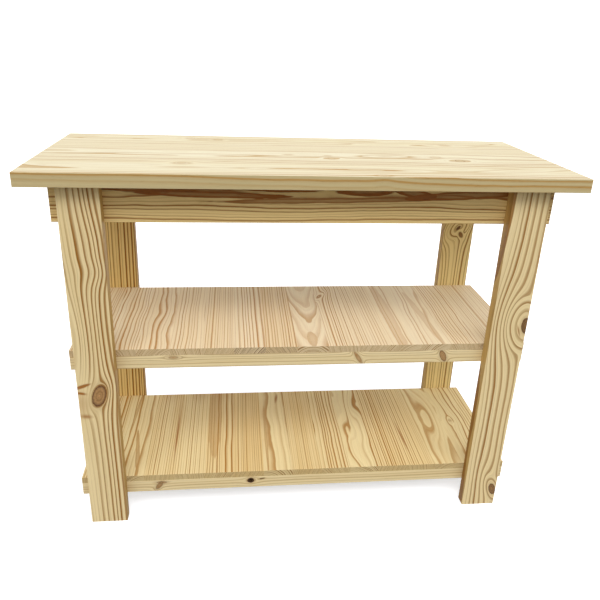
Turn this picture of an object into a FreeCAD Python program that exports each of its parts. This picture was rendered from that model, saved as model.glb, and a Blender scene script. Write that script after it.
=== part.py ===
import FreeCAD, Part
import os
import re
import Sketcher

# A free-standing potting bench in planed pine, in millimetres. +X runs along the
# bench, +Y from its front to its back and +Z up. The origin is on the floor, under
# the middle of the bench. Four board legs stand outside two aprons and outside the
# long rails of two shelves; the worktop and the shelves are edge-glued panels.

SIZES = {
    # worktop
    "top_length": 1219.2,
    "top_depth": 489.0,
    "top_thick": 30.5,
    "narrow_board": 76.2,
    # legs
    "bench_height": 914.4,
    "leg_width": 88.9,
    "leg_thick": 28.575,
    "leg_inset": 73.0,
    "front_overhang": 28.6,
    # apron frame under the worktop
    "apron_height": 88.9,
    "apron_thick": 28.575,
    "apron_reach": 22.2,
    "stretcher_width": 88.9,
    "stretcher_thick": 28.575,
    # shelves
    "mid_shelf_top": 484.7,
    "mid_reach": 17.4,
    "bottom_shelf_top": 118.3,
    "bottom_reach": 22.2,
    "shelf_thick": 17.5,
    "end_stave": 38.0,
    "rail_height": 34.0,
    "rail_thick": 28.575,
    "cross_rail_thick": 28.575,
    # edges
    "edge_ease": 0.8,
    # wood screws
    "head_radius": 4.75,
    "head_depth": 3.2,
    "shank_radius": 2.5,
    "shank_clearance": 0.25,
    "point_length": 6.0,
    "drive_side": 3.0,
    "drive_depth": 2.0,
    "leg_bite": 20.0,
    "cross_bite": 36.0,
    "top_bite": 20.0,
    "shelf_bite": 11.0,
    # where the screws go
    "leg_screw_spread": 28.0,
    "apron_screw_low": 20.0,
    "apron_screw_rise": 22.0,
    "stretcher_screw_spread": 12.0,
    "top_screw_spread": 30.0,
}

# Places worked out from the sizes above.
PLACES = {
    "leg_outer_x": "top_length / 2 - leg_inset",
    "leg_centre_x": "leg_outer_x - leg_width / 2",
    "leg_outer_y": "top_depth / 2 - front_overhang",
    "frame_y": "leg_outer_y - leg_thick",
    "top_underside": "bench_height - top_thick",
    "apron_underside": "top_underside - apron_height",
    "apron_inside": "frame_y - apron_thick",
    "apron_length": "2 * (leg_outer_x + apron_reach)",
    "wide_board": "(top_depth - narrow_board) / 3",
    "mid_length": "2 * (leg_outer_x + mid_reach)",
    "bottom_length": "2 * (leg_outer_x + bottom_reach)",
    "rail_inside": "frame_y - rail_thick",
    "stretcher_middle": "top_underside - stretcher_thick / 2",
}

STAVES = 15
SCREWED_STAVES = range(3, STAVES - 1, 2)
SECTION_PLANES = {"x": "YZ_Plane", "y": "XZ_Plane", "z": "XY_Plane"}
SIDES = {"left": -1, "right": 1}
FACES = {"front": -1, "back": 1}

# A screw is drawn with its head at its own origin and its point along +Z.
DIRECTIONS = {
    "up": FreeCAD.Rotation(),
    "front": FreeCAD.Rotation(FreeCAD.Vector(1, 0, 0), 90),
    "back": FreeCAD.Rotation(FreeCAD.Vector(1, 0, 0), -90),
}

doc = FreeCAD.newDocument("potting_bench")
pieces = {}
blanks = {}
screws = []


def bind(text):
    """An expression in the words of SIZES and PLACES, as the document reads it."""

    def swap(match):
        word = match.group(0)
        if word in SIZES:
            return "Sizes." + word
        if word in PLACES:
            return "(" + bind(PLACES[word]) + ")"
        return word

    return re.sub(r"[a-z][a-z0-9_]*", swap, text)


def place(thing, where):
    """Ties a thing's position to three expressions."""
    for axis, text in zip("xyz", where):
        thing.setExpression("Placement.Base." + axis, bind(text))


def fill_sheet():
    sheet = doc.addObject("Spreadsheet::Sheet", "Sizes")
    for row, (name, value) in enumerate(SIZES.items(), start=1):
        sheet.set(f"A{row}", name)
        sheet.set(f"B{row}", str(value))
        sheet.setAlias(f"B{row}", name)
    doc.recompute()


def new_sketch(body, name, role):
    """An empty sketch on one of the body's own origin planes."""
    sketch = body.newObject("Sketcher::SketchObject", name)
    plane = next(item for item in body.Origin.OriginFeatures if item.Role == role)
    sketch.AttachmentSupport = [(plane, "")]
    sketch.MapMode = "FlatFace"
    return sketch


def draw_loop(sketch, points):
    """Straight lines from point to point, closed."""
    corners = [FreeCAD.Vector(x, y, 0) for x, y in points]
    count = len(corners)
    for n in range(count):
        sketch.addGeometry(Part.LineSegment(corners[n], corners[(n + 1) % count]), False)
    for n in range(count):
        sketch.addConstraint(Sketcher.Constraint("Coincident", n, 2, (n + 1) % count, 1))


def size_constraint(sketch, name, constraint, text):
    """Adds a constraint and ties it to an expression."""
    number = sketch.addConstraint(constraint)
    sketch.renameConstraint(number, name)
    sketch.setExpression("Constraints." + name, bind(text))


def draw_rectangle(sketch, across, tall):
    """A rectangle centred on the sketch's origin."""
    draw_loop(sketch, [(-1, -1), (1, -1), (1, 1), (-1, 1)])
    for line, way in enumerate(("Horizontal", "Vertical", "Horizontal", "Vertical")):
        sketch.addConstraint(Sketcher.Constraint(way, line))
    sketch.addConstraint(Sketcher.Constraint("Symmetric", 0, 1, 2, 1, -1, 1))
    size_constraint(sketch, "across", Sketcher.Constraint("DistanceX", 0, 1, 0, 2, 2.0), across)
    size_constraint(sketch, "tall", Sketcher.Constraint("DistanceY", 1, 1, 1, 2, 2.0), tall)


def board(label, runs, size, centre, eased=True):
    """A sawn board: its section, padded both ways along the axis that it runs."""
    body = doc.addObject("PartDesign::Body", label + "_blank")
    section = new_sketch(body, label + "_section", SECTION_PLANES[runs])
    across, tall = [size[axis] for axis in "xyz" if axis != runs]
    draw_rectangle(section, across, tall)
    pad = body.newObject("PartDesign::Pad", label + "_pad")
    pad.Profile = section
    pad.SideType = "Symmetric"
    pad.setExpression("Length", bind(size[runs]))
    if eased:
        ease = body.newObject("PartDesign::Chamfer", label + "_ease")
        ease.Base = (pad, [""])
        ease.UseAllEdges = True
        ease.setExpression("Size", bind("edge_ease"))
    place(body, centre)
    blanks[label] = body


def screw_profile(body, name, rows):
    """Turns a closed profile of (radius, height, names of both) about the Z axis."""
    sketch = new_sketch(body, name + "_profile", "XZ_Plane")
    draw_loop(sketch, [(0, 0)] + [(radius, height) for radius, height, _, _ in rows])
    sketch.addConstraint(Sketcher.Constraint("Coincident", 0, 1, -1, 1))
    last = len(rows)
    for n, (radius, height, radius_text, height_text) in enumerate(rows, start=1):
        if n == last:
            sketch.addConstraint(Sketcher.Constraint("PointOnObject", n, 1, -2))
        else:
            across = Sketcher.Constraint("DistanceX", -1, 1, n, 1, radius)
            size_constraint(sketch, f"radius_{n}", across, radius_text)
        if n == 1:
            sketch.addConstraint(Sketcher.Constraint("PointOnObject", n, 1, -1))
        else:
            along = Sketcher.Constraint("DistanceY", -1, 1, n, 1, height)
            size_constraint(sketch, f"height_{n}", along, height_text)
    turned = body.newObject("PartDesign::Revolution", name + "_turned")
    turned.Profile = sketch
    turned.ReferenceAxis = (sketch, ["V_Axis"])
    turned.Angle = 360
    return turned


def screw_master(kind, through, bite):
    """A countersunk wood screw, long enough for the board it holds and its bite."""
    body = doc.addObject("PartDesign::Body", kind + "_screw")
    length = f"{through} + {bite}"
    rows = [
        (4.0, 0.0, "head_radius", "0"),
        (2.0, 3.0, "shank_radius", "head_depth"),
        (2.0, 20.0, "shank_radius", f"{length} - point_length"),
        (0.0, 30.0, "0", length),
    ]
    turned = screw_profile(body, kind + "_screw", rows)
    socket = new_sketch(body, kind + "_drive", "XY_Plane")
    draw_rectangle(socket, "drive_side", "drive_side")
    recess = body.newObject("PartDesign::Pocket", kind + "_drive_recess")
    recess.Profile = socket
    recess.Reversed = True
    recess.setExpression("Length", bind("drive_depth"))
    doc.recompute()
    if not body.Shape.Volume < turned.Shape.Volume - 1:
        raise RuntimeError(kind + " screw has no drive recess")
    return body


def hole_master(kind, through, bite):
    """The hole for that screw: loose through the first board, tight in the second."""
    body = doc.addObject("PartDesign::Body", kind + "_hole")
    length = f"{through} + {bite}"
    loose = "shank_radius + shank_clearance"
    rows = [
        (4.0, 0.0, "head_radius", "0"),
        (2.5, 3.0, loose, "head_depth"),
        (2.5, 10.0, loose, through),
        (2.0, 10.0, "shank_radius", through),
        (2.0, 20.0, "shank_radius", f"{length} - point_length"),
        (0.0, 30.0, "0", length),
    ]
    screw_profile(body, kind + "_hole", rows)
    return body


def linked(name, master, where, direction):
    """One more of a master, at its own place."""
    link = doc.addObject("App::Link", name)
    link.LinkedObject = master
    link.Placement = FreeCAD.Placement(FreeCAD.Vector(), DIRECTIONS[direction])
    place(link, where)
    return link


def add_screw(kind, through, into, where, direction):
    """Notes a screw that passes through one piece and bites in another."""
    screws.append((kind, {through, into}, where, direction))


def drill(label, holes):
    """Cuts every screw hole of one board out of its blank."""
    blank = blanks[label]
    mine = [item for item in screws if label in item[1]]
    if not mine:
        pieces[label] = blank
        return
    bits = doc.addObject("Part::Compound", label + "_bits")
    bits.Links = [
        linked(f"{label}_bit_{n}", holes[kind], where, direction)
        for n, (kind, _, where, direction) in enumerate(mine, start=1)
    ]
    drilled = doc.addObject("Part::Cut", label + "_drilled")
    drilled.Base = blank
    drilled.Tool = bits
    pieces[label] = drilled


def screw_group(label, kind, master):
    """All the screws of one kind, as a group of separate solids."""
    group = doc.addObject("Part::Compound", label + "_group")
    mine = [item for item in screws if item[0] == kind]
    group.Links = [
        linked(f"{label}_{n}", master, where, direction)
        for n, (_, _, where, direction) in enumerate(mine, start=1)
    ]
    pieces[label] = group


def build_legs():
    size = {"x": "leg_width", "y": "leg_thick", "z": "top_underside"}
    for face, back in FACES.items():
        for side, right in SIDES.items():
            centre = (
                f"{right} * leg_centre_x",
                f"{back} * (leg_outer_y - leg_thick / 2)",
                "top_underside / 2",
            )
            board(f"leg_{face}_{side}", "z", size, centre)


def build_apron_frame():
    """Two aprons, and a flat stretcher between them behind each pair of legs."""
    apron = {"x": "apron_length", "y": "apron_thick", "z": "apron_height"}
    for face, back in FACES.items():
        centre = ("0", f"{back} * (frame_y - apron_thick / 2)", "top_underside - apron_height / 2")
        board(f"apron_{face}", "x", apron, centre)
    stretcher = {"x": "stretcher_width", "y": "2 * apron_inside", "z": "stretcher_thick"}
    for side, right in SIDES.items():
        centre = (f"{right} * leg_centre_x", "0", "stretcher_middle")
        board(f"stretcher_{side}", "y", stretcher, centre)


def build_worktop():
    """Four boards edge to edge, from the front: wide, wide, narrow, wide."""
    front = "-top_depth / 2"
    rows = [
        ("wide_board", f"{front} + wide_board / 2"),
        ("wide_board", f"{front} + wide_board * 1.5"),
        ("narrow_board", f"{front} + wide_board * 2 + narrow_board / 2"),
        ("wide_board", "top_depth / 2 - wide_board / 2"),
    ]
    for number, (width, middle) in enumerate(rows, start=1):
        size = {"x": "top_length", "y": width, "z": "top_thick"}
        centre = ("0", middle, "bench_height - top_thick / 2")
        board(f"top_board_{number}", "x", size, centre, eased=False)
    return [middle for _, middle in rows]


def stave_middle(number, length):
    """Where a full stave's middle is, counted from the left end."""
    return f"-{length} / 2 + ({length} - end_stave) * {number - 0.5} / {STAVES - 1}"


def build_shelf(name, length, shelf_top):
    """Two long rails, two cross rails and a panel of staves that run front to back."""
    middle = f"{shelf_top} - shelf_thick - rail_height / 2"
    rail = {"x": length, "y": "rail_thick", "z": "rail_height"}
    for face, back in FACES.items():
        centre = ("0", f"{back} * (frame_y - rail_thick / 2)", middle)
        board(f"{name}_rail_{face}", "x", rail, centre)
    cross = {"x": "cross_rail_thick", "y": "2 * rail_inside", "z": "rail_height"}
    for side, right in SIDES.items():
        centre = (f"{right} * leg_centre_x", "0", middle)
        board(f"{name}_cross_{side}", "y", cross, centre)
    level = f"{shelf_top} - shelf_thick / 2"
    for number in range(1, STAVES + 1):
        width = f"({length} - end_stave) / {STAVES - 1}"
        across = stave_middle(number, length)
        if number == STAVES:
            width = "end_stave"
            across = f"{length} / 2 - end_stave / 2"
        size = {"x": width, "y": "2 * frame_y", "z": "shelf_thick"}
        board(f"{name}_stave_{number:02d}", "y", size, (across, "0", level), eased=False)


def plan_leg_screws():
    """Driven outwards from inside the frame, so that no head shows on a leg."""
    for face, back in FACES.items():
        for side, right in SIDES.items():
            leg = f"leg_{face}_{side}"
            for spread in (-1, 1):
                across = f"{right} * leg_centre_x + {spread} * leg_screw_spread"
                for row in (0, 1):
                    level = f"apron_underside + apron_screw_low + {row} * apron_screw_rise"
                    where = (across, f"{back} * apron_inside", level)
                    add_screw("apron", f"apron_{face}", leg, where, face)
                for name, shelf_top in (("mid", "mid_shelf_top"), ("bottom", "bottom_shelf_top")):
                    level = f"{shelf_top} - shelf_thick - rail_height / 2"
                    where = (across, f"{back} * rail_inside", level)
                    add_screw("rail", f"{name}_rail_{face}", leg, where, face)


def plan_cross_screws():
    """Through the aprons and long rails into what lies between, under the legs."""
    inwards = {"front": "back", "back": "front"}
    for face, back in FACES.items():
        for side, right in SIDES.items():
            outside = f"{back} * frame_y"
            for spread in (-1, 1):
                across = f"{right} * leg_centre_x + {spread} * stretcher_screw_spread"
                where = (across, outside, "stretcher_middle")
                apron = f"apron_{face}"
                add_screw("stretcher", apron, f"stretcher_{side}", where, inwards[face])
            for name, shelf_top in (("mid", "mid_shelf_top"), ("bottom", "bottom_shelf_top")):
                level = f"{shelf_top} - shelf_thick - rail_height / 2"
                where = (f"{right} * leg_centre_x", outside, level)
                rail = f"{name}_rail_{face}"
                add_screw("cross", rail, f"{name}_cross_{side}", where, inwards[face])


def plan_top_screws(board_middles):
    """Up through the stretchers, so that each worktop board is held at both ends."""
    first_joint = "(top_depth / 2 - wide_board)"
    near_apron = f"(apron_inside + {first_joint}) / 2"
    rows = [f"-{near_apron}", board_middles[1], board_middles[2], near_apron]
    for side, right in SIDES.items():
        for number, row in enumerate(rows, start=1):
            for spread in (-1, 1):
                across = f"{right} * leg_centre_x + {spread} * top_screw_spread"
                where = (across, row, "top_underside - stretcher_thick")
                add_screw("top", f"stretcher_{side}", f"top_board_{number}", where, "up")


def plan_shelf_screws(name, length, shelf_top):
    """Up through the long rails into every second stave between the legs."""
    for face, back in FACES.items():
        for number in SCREWED_STAVES:
            where = (
                stave_middle(number, length),
                f"{back} * (frame_y - rail_thick / 2)",
                f"{shelf_top} - shelf_thick - rail_height",
            )
            add_screw("shelf", f"{name}_rail_{face}", f"{name}_stave_{number:02d}", where, "up")


def check_document():
    """Stops if anything in the document failed or a piece has no sound solid."""
    for item in doc.Objects:
        if "Invalid" in item.State or "Error" in item.State:
            raise RuntimeError(f"{item.Name} failed: {item.State}")
    for label, piece in pieces.items():
        if piece.Shape.isNull() or not piece.Shape.isValid() or not piece.Shape.Solids:
            raise RuntimeError(label + " has no valid solid")
        if label in blanks and piece is not blanks[label]:
            if not piece.Shape.Volume < blanks[label].Shape.Volume - 1:
                raise RuntimeError(label + " has no screw holes")


def main():
    fill_sheet()
    build_legs()
    build_apron_frame()
    board_middles = build_worktop()
    build_shelf("mid", "mid_length", "mid_shelf_top")
    build_shelf("bottom", "bottom_length", "bottom_shelf_top")
    plan_leg_screws()
    plan_cross_screws()
    plan_top_screws(board_middles)
    plan_shelf_screws("mid", "mid_length", "mid_shelf_top")
    plan_shelf_screws("bottom", "bottom_length", "bottom_shelf_top")
    kinds = {
        "apron": ("apron_thick", "leg_bite"),
        "rail": ("rail_thick", "leg_bite"),
        "stretcher": ("apron_thick", "cross_bite"),
        "cross": ("rail_thick", "cross_bite"),
        "top": ("stretcher_thick", "top_bite"),
        "shelf": ("rail_height", "shelf_bite"),
    }
    holes = {kind: hole_master(kind, *lengths) for kind, lengths in kinds.items()}
    for label in blanks:
        drill(label, holes)
    for kind, lengths in kinds.items():
        screw_group(kind + "_screws", kind, screw_master(kind, *lengths))
    for label, piece in pieces.items():
        piece.Label = label
    doc.recompute()
    check_document()
    os.makedirs("parts", exist_ok=True)
    for label, piece in pieces.items():
        piece.Shape.exportStep(f"parts/{label}.step")
    print(len(pieces), "pieces,", len(screws), "screws")


main()
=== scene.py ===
"""The looks of a pine potting bench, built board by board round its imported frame.

Each board is modelled lying in its own frame: x runs along the grain, y across it and z through the
thickness. One growth ring pattern is worked out in that frame, as if the board were cut from a log, so
faces, edges and end grain agree with each other. Lengths are in metres; only those of a Spot or a Knot
are written in millimetres.
"""

import math
import random
from dataclasses import dataclass, replace

import bmesh
import bpy
from mathutils import Matrix, Vector


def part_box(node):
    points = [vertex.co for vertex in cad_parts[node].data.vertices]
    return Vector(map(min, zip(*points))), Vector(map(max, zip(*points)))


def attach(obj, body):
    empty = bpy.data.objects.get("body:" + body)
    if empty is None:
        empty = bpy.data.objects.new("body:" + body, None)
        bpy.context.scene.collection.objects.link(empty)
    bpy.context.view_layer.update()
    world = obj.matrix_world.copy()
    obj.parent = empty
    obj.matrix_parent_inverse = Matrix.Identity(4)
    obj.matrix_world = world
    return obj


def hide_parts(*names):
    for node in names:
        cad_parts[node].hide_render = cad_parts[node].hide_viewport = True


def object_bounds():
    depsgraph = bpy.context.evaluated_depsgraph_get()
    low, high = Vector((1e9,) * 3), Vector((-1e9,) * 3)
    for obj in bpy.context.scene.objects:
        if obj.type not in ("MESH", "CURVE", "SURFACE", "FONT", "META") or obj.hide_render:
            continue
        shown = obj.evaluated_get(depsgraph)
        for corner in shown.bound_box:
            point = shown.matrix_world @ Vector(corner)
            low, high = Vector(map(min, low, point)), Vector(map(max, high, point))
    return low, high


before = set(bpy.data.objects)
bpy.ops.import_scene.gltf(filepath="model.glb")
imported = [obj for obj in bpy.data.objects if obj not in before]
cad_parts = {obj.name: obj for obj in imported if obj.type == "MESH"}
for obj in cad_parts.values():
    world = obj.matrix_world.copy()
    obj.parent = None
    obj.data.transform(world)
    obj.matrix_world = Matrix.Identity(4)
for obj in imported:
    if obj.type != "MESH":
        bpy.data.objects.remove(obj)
cad_low, cad_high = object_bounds()

MM = 0.001
X = Vector((1, 0, 0))
Y = Vector((0, 1, 0))
Z = Vector((0, 0, 1))

EDGE_EASE = 1.0 * MM  # the rounding of a planed edge
GLUED_END_EASE = 0.45 * MM
GLUE_LINE = 0.12 * MM  # the fine groove where two boards are glued
SHARPEST_EDGE = 0.02 * MM
ARC_STEPS = 4
BOARD_WAVES = 2.4  # of the grain, per metre
STAVE_WAVES = 5.0
END_ATTRIBUTE = "end_grain"
SIDE_ATTRIBUTE = "side_grain"


# ---------------- node formulas

class Signal:
    """A value on its way through a node tree, so that a shader's formula reads as a formula."""

    def __init__(self, tree, socket):
        self.tree = tree
        self.socket = socket

    def math(self, operation, *others):
        node = self.tree.nodes.new("ShaderNodeMath")
        node.operation = operation
        for socket, value in zip(node.inputs, (self, *others)):
            feed(self.tree, socket, value)
        return Signal(self.tree, node.outputs[0])

    def __add__(self, other):
        return self.math("ADD", other)

    __radd__ = __add__

    def __sub__(self, other):
        return self.math("SUBTRACT", other)

    def __rsub__(self, other):
        return (self * -1) + other

    def __mul__(self, other):
        return self.math("MULTIPLY", other)

    __rmul__ = __mul__

    def __truediv__(self, other):
        return self.math("DIVIDE", other)

    def squared(self):
        return self * self

    def root(self):
        return self.math("SQRT")

    def bell(self):
        """1 at zero, falling off to 0 as the value (already squared) grows."""
        return (self * -1).math("EXPONENT")

    def ramp(self, low, high):
        """0 below low and 1 above high, with a smooth rise between them."""
        node = self.tree.nodes.new("ShaderNodeMapRange")
        node.interpolation_type = "SMOOTHSTEP"
        for name, value in (("Value", self), ("From Min", low), ("From Max", high)):
            feed(self.tree, node.inputs[name], value)
        return Signal(self.tree, node.outputs["Result"])


def feed(tree, socket, value):
    if isinstance(value, Signal):
        tree.links.new(value.socket, socket)
    else:
        socket.default_value = value


def combine(tree, x, y, z):
    node = tree.nodes.new("ShaderNodeCombineXYZ")
    for socket, value in zip(node.inputs, (x, y, z)):
        feed(tree, socket, value)
    return Signal(tree, node.outputs[0])


NOISE_MIDDLE = 0.5  # of the noise node's output
NOISE_STRETCH = 3.2  # brings that output to about -1 to 1


def noise(tree, place, detail=2.0):
    """Smooth noise about 0, reaching roughly -1 and 1."""
    node = tree.nodes.new("ShaderNodeTexNoise")
    node.inputs["Scale"].default_value = 1.0
    node.inputs["Detail"].default_value = detail
    feed(tree, node.inputs["Vector"], place)
    return (Signal(tree, node.outputs["Fac"]) - NOISE_MIDDLE) * NOISE_STRETCH


def grain_noise(tree, place, rate_along, rate_across, shift, detail=2.0):
    """Noise drawn out along the grain. The rates are its waves per metre that way and across it."""
    along, across, depth = place
    stretched = combine(tree, along * rate_along + shift, across * rate_across, depth * rate_across)
    return noise(tree, stretched, detail)


def total(signals):
    """The sum of some signals, or 0 where there are none."""
    whole = 0.0
    for signal in signals:
        whole = signal + whole
    return whole


def strongest(signals):
    """The greatest of some signals."""
    first, *others = signals
    for signal in others:
        first = first.math("MAXIMUM", signal)
    return first


def dice(tree, value):
    """A random number from 0 to 1 that stays the same while value does."""
    node = tree.nodes.new("ShaderNodeTexWhiteNoise")
    node.noise_dimensions = "1D"
    feed(tree, node.inputs["W"], value)
    return Signal(tree, node.outputs["Value"])


def mix(tree, share, first, second):
    node = tree.nodes.new("ShaderNodeMix")
    node.data_type = "RGBA"
    colour_sockets = [s for s in node.inputs if s.type == "RGBA"]
    feed(tree, node.inputs[0], share)
    feed(tree, colour_sockets[0], first)
    feed(tree, colour_sockets[1], second)
    return Signal(tree, next(s for s in node.outputs if s.type == "RGBA"))


def multiply(tree, first, second):
    node = tree.nodes.new("ShaderNodeVectorMath")
    node.operation = "MULTIPLY"
    feed(tree, node.inputs[0], first)
    feed(tree, node.inputs[1], second)
    return Signal(tree, node.outputs[0])


def scaled(tree, vector, gain):
    """A colour made brighter by gain, or a place made that many times as far away."""
    node = tree.nodes.new("ShaderNodeVectorMath")
    node.operation = "SCALE"
    feed(tree, node.inputs[0], vector)
    feed(tree, node.inputs["Scale"], gain)
    return Signal(tree, node.outputs[0])


def hex_colour(code):
    """A colour written as six hexadecimal digits, as the linear values that a shader takes.

    The numbers are the sRGB standard's own.
    """
    shares = [int(code[i:i + 2], 16) / 255 for i in (0, 2, 4)]
    linear = [s / 12.92 if s <= 0.04045 else ((s + 0.055) / 1.055) ** 2.4 for s in shares]
    return (*linear, 1.0)


# ---------------- what a board is cut from

@dataclass
class Spot:
    """A place on a board, from its middle: along and across, with its half length and half width.

    These four, and a knot's swirl, are written in millimetres and kept in metres.
    """
    along: float
    across: float
    half_long: float
    half_wide: float
    tilt: float = 0.0
    strength: float = 1.0

    def __post_init__(self):
        self.along *= MM
        self.across *= MM
        self.half_long *= MM
        self.half_wide *= MM


@dataclass
class Knot(Spot):
    """A branch that the board was sawn through. The grain parts round its swirl."""
    swirl_long: float = 0.0          # half sizes of the swirl; 0 stands for the knot's own
    swirl_wide: float = 0.0
    dark: float = 0.5                # of its rim
    shade: float = 0.0               # of its wood

    def __post_init__(self):
        super().__post_init__()
        self.swirl_long *= MM
        self.swirl_wide *= MM


@dataclass
class Grain:
    """How a board was sawn from its log."""
    spacing: float                   # between growth rings
    pith_across: float               # the log's centre, from the board's middle line
    pith_behind: float               # and behind the board's seen face
    taper: float                     # how fast the rings run out of the face along the board
    lean: float                      # how far the grain drifts across per length
    start: float                     # share of a ring at the middle of the seen face
    waver: float                     # how many rings the grain wanders by
    wave_rate: float                 # waves per metre
    late: float                      # share of a ring that is dark latewood
    contrast: float
    mottle: float                    # broad pale and tan streaks
    tan: float                       # how much darker this board is than its neighbours
    hatch: float = 0.35              # how dark the rings are on a sawn end
    # painted warm bounce light: a warm cast for boards that stand in shade
    tint: str = "FFFFFF"
    knots: tuple = ()
    bends: tuple = ()                # spots where the grain is pushed across by strength metres
    bulges: tuple = ()               # spots where strength more rings show
    calms: tuple = ()                # spots where the rings fade
    flames: tuple = ()               # spots where a dark ring just breaks the face, as an island; on the apron they also paint shade
    stains: tuple = ()               # resin and mineral streaks, and broad spots of painted shadow


@dataclass
class Wood:
    """The colours of one material slot."""
    pale: str
    straw: str
    late: str
    # painted shade: a darker, warmer copy of the face colour for narrow sides, such as the worktop's front
    # edge and the legs' inner sides
    side: str
    # the colour of resin streaks, also used for painted shadow
    stain: str = "A26C34"
    heart: str = "AA8050"
    rim: str = "5E381E"
    end: str = "BAA270"
    roughness: float = 0.58


# Each slot's side colour is painted shade for its narrow faces.
WOODS = {
    "worktop_pine": Wood(pale="E4DCC2", straw="D6C698", late="B68E50", side="C3B07E",
                         heart="CBB082", rim="8A6438"),
    "leg_pine": Wood(pale="F2DEAE", straw="E0C484", late="946424", side="C49E56"),
    "frame_pine": Wood(pale="F1E0B4", straw="E2C88E", late="8C5608", side="D0B476"),
    "mid_shelf_pine": Wood(pale="F0DEBC", straw="E6CA9A", late="BC8A4E", side="DDC49A"),
    "bottom_shelf_pine": Wood(pale="EAD7A4", straw="DAB878", late="AA7426", side="D2B478"),
}


def square_reach(place, spot, half_long, half_wide):
    """Squared distance from a spot, 1 on the ellipse of those half sizes."""
    along, across, _ = place
    from_along = along - spot.along
    from_across = across - spot.across
    cosine = math.cos(spot.tilt)
    sine = math.sin(spot.tilt)
    lengthways = (from_along * cosine + from_across * sine) / half_long
    sideways = (from_across * cosine - from_along * sine) / half_wide
    return lengthways.squared() + sideways.squared()


def bell_at(place, spot):
    return square_reach(place, spot, spot.half_long, spot.half_wide).bell()


def part_round(place, flow, knot):
    """The grain's flow, pushed apart by a knot as water is by a stone, with closed rings inside."""
    swirl_long = knot.swirl_long or knot.half_long
    swirl_wide = knot.swirl_wide or knot.half_wide
    swirl = square_reach(place, knot, swirl_long, swirl_wide)
    beside = (flow - knot.across) * (1 - swirl.math("MAXIMUM", 1.0).math("POWER", -1.0))
    closed = (1 - swirl.root()).math("MAXIMUM", 0.0) * swirl_wide
    return beside + closed + knot.across


SLOW_RATE_ACROSS = 11  # waves per metre
QUICK_RATES = (17, 45)  # waves per metre along and across the grain
QUICK_SHARE = 0.16
YEAR_RATE = 0.4  # how soon good and poor years follow each other, per ring
YEAR_DRIFT = 0.3  # how soon they change along the board, per metre
YEAR_SHIFT = 0.5  # how many rings they move the later ones by


def ring_count(tree, place, cut):
    """Growth rings from the pith out to a point, counted from the middle of the seen face."""
    along, _, depth = place
    radius = ((cut["flow"] - cut["pith_across"]).squared() + (depth - cut["pith_depth"]).squared()).root()
    slow = grain_noise(tree, place, cut["wave_rate"], SLOW_RATE_ACROSS, cut["seed"], 1.5)
    quick = grain_noise(tree, place, *QUICK_RATES, cut["seed"] * -1, 1.0)
    rings = (radius - cut["pith_behind"] + along * cut["taper"]) / cut["spacing"] + cut["start"]
    rings = rings + (slow + quick * QUICK_SHARE) * cut["waver"] + cut["lift"]
    years = noise(tree, combine(tree, cut["seed"], along * YEAR_DRIFT, rings * YEAR_RATE), 0.0)
    return rings + years * YEAR_SHIFT


LATE_END = (0.93, 0.995)  # where in a ring its dark part stops
LATE_EARLIER = 0.24  # how much sooner it may open in one ring than in another
LATE_PALEST = 0.35
LATE_TONE_RANGE = 0.75


def latewood(rings, share):
    """The dark part of each ring: it deepens slowly and ends at a sharp line, and no two are alike."""
    part = rings.math("FRACT")
    vary = dice(rings.tree, rings.math("FLOOR"))
    opening = part + vary * LATE_EARLIER
    rise = opening.ramp(1.12 - share * 1.3, 1.1 - share * 0.3)
    fall = part.ramp(*LATE_END)
    return rise * (1 - fall) * (LATE_PALEST + vary * LATE_TONE_RANGE), part


KNOT_DEPTH = 1.6  # how deep a knot goes, in its half lengths
KNOT_STRAY = 0.09  # how far its outline strays, as a share of its size
KNOT_STRAY_RATES = (210, 60)  # waves per metre on the face and into the board
KNOT_RING_WOBBLE = 1.5
KNOT_RING_RATE = 17  # its own rings, in radians from its middle to its outline
KNOT_RING_TONE = 0.19
KNOT_PITH = (0.08, 0.16)  # these reaches are shares of the knot's size
KNOT_PITH_GLOW = 0.5  # how much paler its very middle is
KNOT_OUTLINE = (0.84, 1.02)
RIM_START = (0.8, 0.98)
RIM_END = (1.0, 1.14)
HALO = (0.9, 2.3)
HALO_TONE = 0.28


def knot_tones(tree, place, knots, seed, seen_face):
    """Masks for the knots' wood, their dark rims and the warm halo round them, and their own rings."""
    along, across, depth = place
    below = depth - seen_face
    on_face, inward = KNOT_STRAY_RATES
    ragged = noise(tree, combine(tree, along * on_face + seed, across * on_face, depth * inward), 2.0)
    hearts, rims, halos, whorls = [], [], [], []
    for knot in knots:
        flat = square_reach(place, knot, knot.half_long, knot.half_wide)
        tapered = (below / (knot.half_long * KNOT_DEPTH)).squared()
        reach = (flat + tapered).root() + ragged * KNOT_STRAY
        inside = (1 - reach.ramp(*KNOT_OUTLINE)) * knot.strength
        turns = (reach * KNOT_RING_RATE + ragged * KNOT_RING_WOBBLE).math("SINE") * KNOT_RING_TONE
        pith = (1 - reach.ramp(*KNOT_PITH)) * KNOT_PITH_GLOW
        hearts.append(inside)
        rims.append(reach.ramp(*RIM_START) * (1 - reach.ramp(*RIM_END)) * knot.dark)
        halos.append((1 - reach.ramp(*HALO)) * HALO_TONE)
        whorls.append((turns + knot.shade) * inside - pith)
    return {
        "heart": strongest(hearts),
        "rim": strongest(rims),
        "halo": strongest(halos),
        "whorl": total(whorls),
    }


def face_share(tree, attribute):
    node = tree.nodes.new("ShaderNodeAttribute")
    node.attribute_name = attribute
    return Signal(tree, node.outputs["Fac"])


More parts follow.
